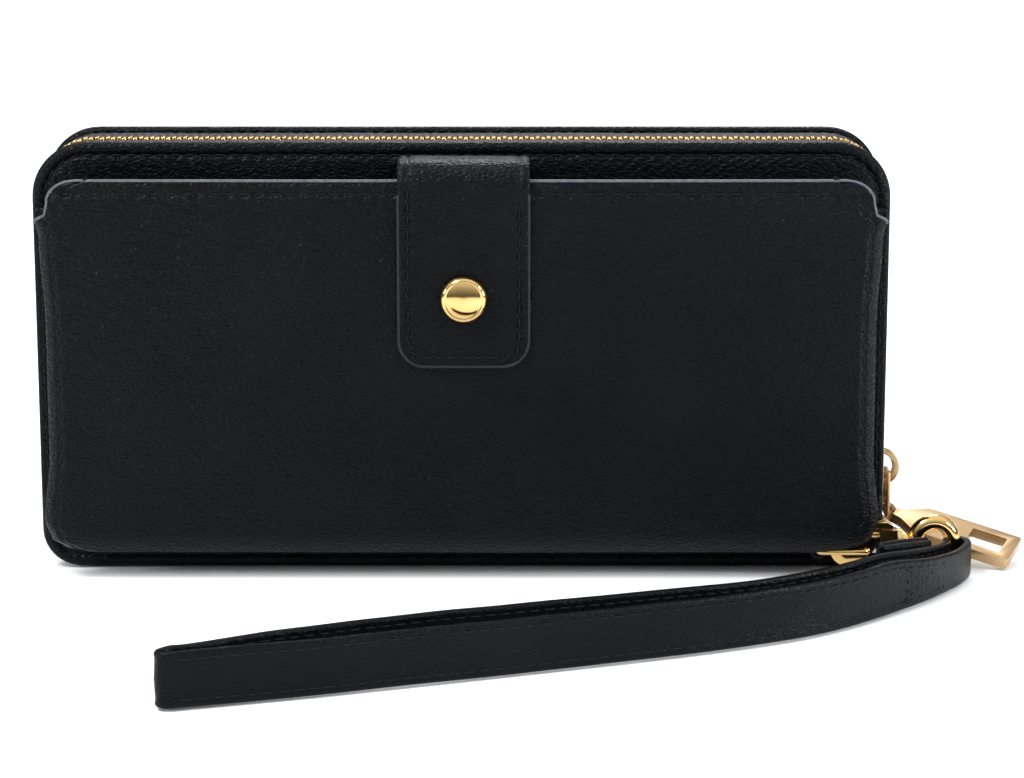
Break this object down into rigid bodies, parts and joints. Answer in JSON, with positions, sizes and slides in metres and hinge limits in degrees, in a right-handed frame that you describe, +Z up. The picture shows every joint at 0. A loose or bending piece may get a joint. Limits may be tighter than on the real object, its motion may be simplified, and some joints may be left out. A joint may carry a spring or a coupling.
{
  "type": "wristlet wallet",
  "caption": "Zip-around long wallet standing on its spine, with a snap-tab phone pocket in front, gilt hardware and a wrist strap clipped on by a snap hook.",
  "frame": {"origin": "middle of the wallet's base, on the surface it stands on", "axes": "+Z up, +X to the wallet's right where the zip slider and strap are, -Y out of the front with the phone pocket"},
  "size_m": [0.2343, 0.1377, 0.102],
  "materials": {
    "leather": "fine pebble grain, satin",
    "strap_leather": "fine grain, satin",
    "lining_fabric": "woven",
    "zip_tape": "ribbed tape",
    "board": "pressed board",
    "zip_gold": "polished",
    "polished_gold": "mirror plated",
    "satin_gold": "brushed satin",
    "steel": "plated"
  },
  "bodies": {
    "front_half": {"front_cover": "leather", "front_stiffener": "board", "front_lining": "lining_fabric", "spine_panel": "leather", "spine_lining": "lining_fabric", "pocket_front": "leather", "pocket_lining": "lining_fabric", "pocket_base": "leather", "pocket_gusset_left": "leather", "pocket_gusset_right": "leather", "snap_stud": "steel", "snap_post": "steel", "tab_root": "leather", "zip_tape_front": "zip_tape", "zip_teeth_front": "zip_gold", "zip_end_stops": "zip_gold", "card_slot_front_1": "leather", "card_slot_front_2": "leather", "card_slot_front_3": "leather", "card_slot_front_4": "leather", "coin_panel_front": "leather", "coin_panel_back": "leather", "coin_gusset": "lining_fabric", "coin_zip_tape": "zip_tape", "coin_zip_teeth": "zip_gold", "d_ring_tab": "leather"},
    "back_half": {"back_cover": "leather", "back_stiffener": "board", "back_lining": "lining_fabric", "zip_tape_back": "zip_tape", "zip_teeth_back": "zip_gold", "card_slot_back_1": "leather", "card_slot_back_2": "leather", "card_slot_back_3": "leather", "card_slot_back_4": "leather"},
    "snap_flap": {"tab_flap": "leather", "tab_lining": "lining_fabric", "snap_cap": "polished_gold", "snap_socket": "steel"},
    "slider": {"zip_slider": "polished_gold"},
    "link": {"pull_link": "polished_gold"},
    "pull": {"zip_pull": "satin_gold"},
    "coin_slide": {"coin_slider": "polished_gold"},
    "coin_tag": {"coin_pull": "polished_gold"},
    "d_loop": {"d_ring": "polished_gold"},
    "hook": {"hook_body": "polished_gold", "hook_post": "polished_gold", "gate_spring": "steel"},
    "gate": {"hook_gate": "polished_gold"},
    "ring": {"swivel_ring": "polished_gold"},
    "strap": {"wrist_strap": "strap_leather", "strap_end": "strap_leather"}
  },
  "joints": [
    {"name": "back_open", "type": "hinge", "parent": "front_half", "child": "back_half", "pos_m": [0, 0.014, 0], "axis": [-1, 0, 0], "range_deg": [0, 90], "deforming": ["zip_teeth_back"]},
    {"name": "tab_lift", "type": "hinge", "parent": "front_half", "child": "snap_flap", "pos_m": [0.0007, -0.0256, 0.09965], "axis": [-1, 0, 0], "range_deg": [0, 130]},
    {"name": "zip_slide", "type": "slide", "parent": "front_half", "child": "slider", "axis": [0, 0, 1], "range_m": [0, 0.055], "deforming": ["zip_teeth_front"]},
    {"name": "link_swing", "type": "hinge", "parent": "slider", "child": "link", "pos_m": [0.1024, 0, 0.02], "axis": [0, -1, 0], "range_deg": [0, 20]},
    {"name": "pull_lift", "type": "hinge", "parent": "link", "child": "pull", "pos_m": [0.1024, 0, 0.0096], "axis": [-0.3746, -0.9272, 0], "range_deg": [0, 50]},
    {"name": "coin_zip_slide", "type": "slide", "parent": "front_half", "child": "coin_slide", "axis": [-1, 0, 0], "range_m": [0, 0.15], "deforming": ["coin_zip_teeth"]},
    {"name": "coin_pull_lift", "type": "hinge", "parent": "coin_slide", "child": "coin_tag", "pos_m": [0.083, 0, 0.0877], "axis": [0, 1, 0], "range_deg": [0, 170]},
    {"name": "d_ring_rock", "type": "hinge", "parent": "front_half", "child": "d_loop", "pos_m": [0.084, -0.0195, 0.0064], "axis": [0, -1, 0], "range_deg": [-4, 4]},
    {"name": "hook_yaw", "type": "hinge", "parent": "front_half", "child": "hook", "pos_m": [0.0955, -0.0195, 0.0081], "axis": [0, 0, 1], "range_deg": [-8, 4]},
    {"name": "gate_slide", "type": "slide", "parent": "hook", "child": "gate", "axis": [1, 0, 0], "range_m": [0, 0.0022], "stiffness_N_per_m": 300, "springref_m": -0.001, "deforming": ["gate_spring"]},
    {"name": "ring_swivel", "type": "hinge", "parent": "hook", "child": "ring", "pos_m": [0.1116, -0.0195, 0.0081], "axis": [-1, 0, 0], "range_deg": [0, 35]},
    {"name": "strap_swing", "type": "hinge", "parent": "ring", "child": "strap", "pos_m": [0.1116, -0.0195, 0.0081], "axis": [0, 1, 0], "range_deg": [0, 30]}
  ]
}
